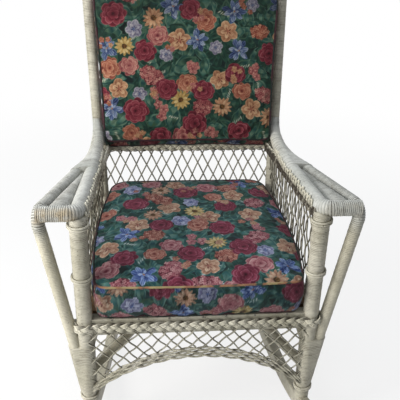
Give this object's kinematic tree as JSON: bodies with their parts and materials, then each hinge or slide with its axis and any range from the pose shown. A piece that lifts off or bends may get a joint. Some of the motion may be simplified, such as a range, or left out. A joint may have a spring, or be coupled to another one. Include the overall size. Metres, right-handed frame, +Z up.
{
  "type": "hoop back rocking chair",
  "caption": "Painted wicker rocking chair with a hoop back, splayed arm braces, an arched apron with open lattice, curved rockers, and floral seat and back cushions.",
  "frame": {"origin": "on the floor under the middle of the chair's box, between the lowest points of both rockers", "axes": "+Z up; +Y towards the back of the chair; +X to the sitter's left, which is right as seen from the front"},
  "size_m": [0.7242, 0.917, 1.097],
  "materials": {
    "wrapped_pole": "cream paint, satin, over poles wound with reed",
    "painted_pole": "cream paint, satin, over bare poles and rails",
    "painted_board": "cream paint, satin, over sawn boards",
    "painted_reed": "cream paint, satin, over braided and crossed reed",
    "bare_wood": "unpainted softwood",
    "steel": "plain screws and bolt",
    "seat_cushion_fabric": "printed cotton, flowers on deep green, dark piping",
    "back_cushion_fabric": "printed cotton, flowers on deep green, dark piping"
  },
  "bodies": {
    "chair": {"apron_arch": "painted_reed", "apron_lattice": "painted_reed", "arm_back_wrap_left": "wrapped_pole", "arm_back_wrap_right": "wrapped_pole", "arm_braid_left": "painted_reed", "arm_braid_right": "painted_reed", "arm_inner_rail_left": "wrapped_pole", "arm_inner_rail_right": "wrapped_pole", "arm_middle_rail_left": "wrapped_pole", "arm_middle_rail_right": "wrapped_pole", "arm_outer_rail_left": "wrapped_pole", "arm_outer_rail_right": "wrapped_pole", "back_band": "painted_reed", "back_cross_rail": "wrapped_pole", "back_cushion": "back_cushion_fabric", "back_hoop": "wrapped_pole", "cross_brace_bolt": "steel", "cross_brace_lower": "painted_pole", "cross_brace_upper": "painted_pole", "front_braid": "painted_reed", "front_leg_left": "wrapped_pole", "front_leg_right": "wrapped_pole", "knee_strut_left": "painted_pole", "knee_strut_right": "painted_pole", "leg_brace_wrap_left": "wrapped_pole", "leg_brace_wrap_right": "wrapped_pole", "leg_lower_ring_left": "painted_reed", "leg_lower_ring_right": "painted_reed", "leg_middle_ring_left": "painted_reed", "leg_middle_ring_right": "painted_reed", "leg_upper_ring_left": "painted_reed", "leg_upper_ring_right": "painted_reed", "lower_back_lattice": "painted_reed", "post_dowels": "bare_wood", "rear_leg_left": "painted_pole", "rear_leg_right": "painted_pole", "rocker_left": "painted_board", "rocker_right": "painted_board", "seat_corner_blocks": "bare_wood", "seat_front_rail": "painted_pole", "seat_rail_dowels": "bare_wood", "seat_rear_rail": "painted_pole", "seat_side_braid_left": "painted_reed", "seat_side_braid_right": "painted_reed", "seat_side_rail_left": "painted_pole", "seat_side_rail_right": "painted_pole", "seat_slats": "bare_wood", "side_lattice_left": "painted_reed", "side_lattice_right": "painted_reed", "slat_screws": "steel", "upper_back_lattice": "painted_reed"},
    "seat_cushion": {"seat_cushion": "seat_cushion_fabric"}
  },
  "joints": [
    {"name": "seat_cushion_lift", "type": "slide", "parent": "chair", "child": "seat_cushion", "axis": [0, 0, 1], "range_m": [0, 0.32]}
  ]
}
